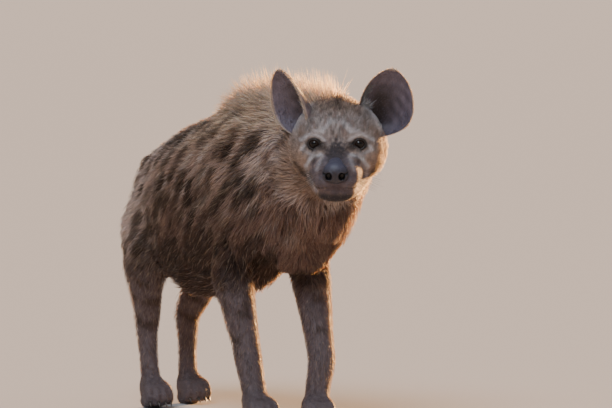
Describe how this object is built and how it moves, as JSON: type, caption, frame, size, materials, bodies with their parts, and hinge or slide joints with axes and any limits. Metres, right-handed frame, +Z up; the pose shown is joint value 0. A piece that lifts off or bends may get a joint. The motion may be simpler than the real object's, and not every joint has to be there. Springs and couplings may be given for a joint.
{
  "type": "spotted hyena",
  "caption": "Life-size still model of a standing spotted hyena with its head turned to its right, ears raised, coarse mane and sloping back, resting on its paws.",
  "frame": {"origin": "on the floor, under the middle of the animal's box", "axes": "+Z up; the animal heads along -Y and its left side is +X"},
  "size_m": [0.3138, 1.1834, 0.8105],
  "materials": {
    "coat": "coarse tan fur with dark brown spots",
    "legs": "short dark brown fur",
    "face": "short grey-brown fur, darker on the muzzle",
    "ear": "dark skin with very short fur",
    "eye": "glossy, dark brown",
    "nose": "bare blue-black skin with a soft shine",
    "tail": "long dark brown fur"
  },
  "bodies": {
    "root": {"head": "face", "nose": "nose", "eye_left": "eye", "eye_right": "eye", "ear_left": "ear", "ear_right": "ear", "neck": "coat", "torso": "coat", "tail": "tail", "foreleg_left": "legs", "foreleg_right": "legs", "hindleg_left": "legs", "hindleg_right": "legs", "forepaw_left": "legs", "forepaw_right": "legs", "hindpaw_left": "legs", "hindpaw_right": "legs"}
  },
  "joints": []
}
